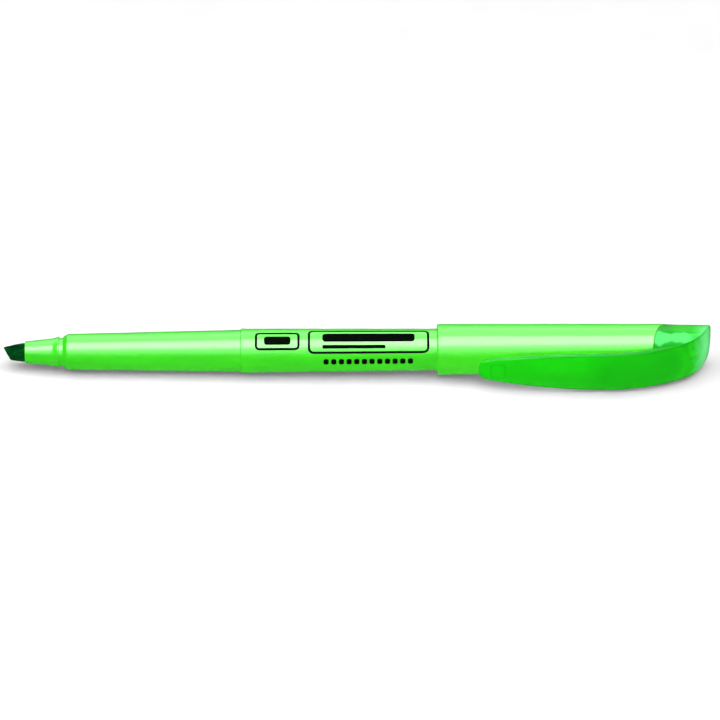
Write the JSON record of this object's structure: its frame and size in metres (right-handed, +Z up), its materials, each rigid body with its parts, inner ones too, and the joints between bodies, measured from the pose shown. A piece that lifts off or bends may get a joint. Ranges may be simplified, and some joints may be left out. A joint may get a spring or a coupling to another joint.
{
  "type": "capped highlighter",
  "caption": "Slim capped highlighter with a chisel nib, stepped round barrel and a posted cap with a wide translucent leaf-shaped pocket clip.",
  "frame": {"origin": "on the table, under the middle of the pen, with the cap posted", "axes": "+X from the nib to the closed end of the cap, +Z up, the clip towards -Y"},
  "size_m": [0.1555, 0.0146, 0.0112],
  "materials": {
    "barrel_plastic": "glossy fluorescent green polypropylene",
    "holder_plastic": "glossy fluorescent green polypropylene",
    "cap_plastic": "glossy fluorescent green polypropylene",
    "liner_plastic": "satin polyethylene",
    "clip_plastic": "smooth translucent green polypropylene",
    "nib_felt": "ink-soaked bonded fibre",
    "reservoir_fibre": "ink-soaked fibre",
    "film": "thin clear film"
  },
  "bodies": {
    "barrel": {"barrel": "barrel_plastic", "barrel_end_plug": "barrel_plastic", "nib_holder": "holder_plastic", "nib": "nib_felt", "ink_reservoir": "reservoir_fibre", "reservoir_film": "film"},
    "cap_liner": {"cap_liner": "liner_plastic"},
    "cap": {"cap_tube": "cap_plastic", "cap_end_piece": "clip_plastic"},
    "clip": {"clip_blade": "clip_plastic"}
  },
  "joints": [
    {"name": "cap_slide", "type": "slide", "parent": "barrel", "child": "cap_liner", "axis": [1, 0, 0], "range_m": [0, 0.04]},
    {"name": "cap_turn", "type": "hinge", "parent": "cap_liner", "child": "cap", "pos_m": [0.05696, 0.00168, 0.0056], "axis": [1, 0, 0], "continuous": true},
    {"name": "clip_flex", "type": "hinge", "parent": "cap", "child": "clip", "pos_m": [0.06513, -0.00563, 0.00507], "axis": [0, -0.0726, 0.9974], "range_deg": [0, 5], "stiffness_Nm_per_rad": 0.7}
  ]
}
